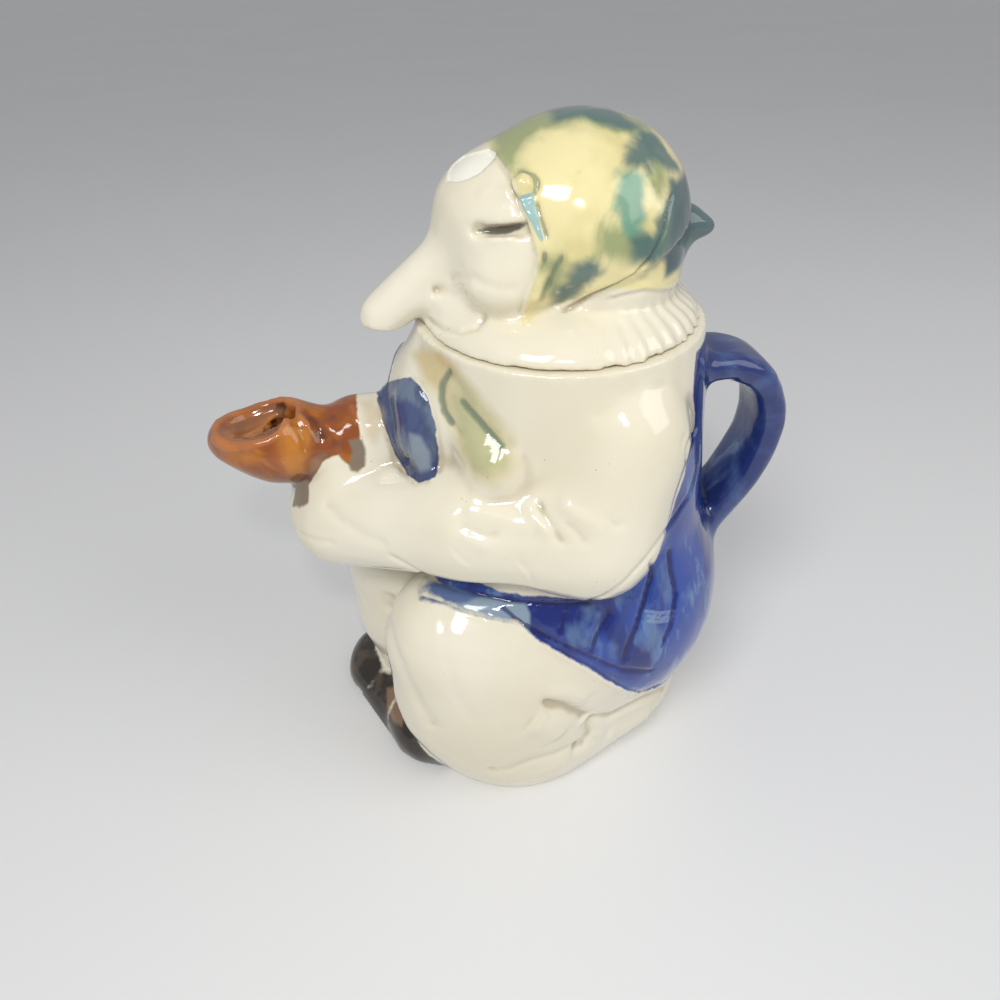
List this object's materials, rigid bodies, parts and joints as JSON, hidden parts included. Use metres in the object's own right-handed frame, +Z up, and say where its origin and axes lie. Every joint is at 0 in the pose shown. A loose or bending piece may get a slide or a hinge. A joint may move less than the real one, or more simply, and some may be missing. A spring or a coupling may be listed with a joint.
{
  "type": "figural teapot",
  "caption": "Squatting figure teapot with a strap handle, a pouch-shaped spout and a lift-off head for a lid.",
  "frame": {"origin": "middle of the flat underside, straight below the middle of the round mouth", "axes": "+Z up, -Y the way the figure and the spout face, +X the figure's left"},
  "size_m": [0.133, 0.2107, 0.2558],
  "materials": {
    "body_glaze": "glossy clear glaze over ivory, cobalt blue and amber brown",
    "lid_glaze": "glossy clear glaze over ivory, yellow, green and turquoise"
  },
  "bodies": {
    "root": {"body": "body_glaze", "lid": "lid_glaze"}
  },
  "joints": []
}
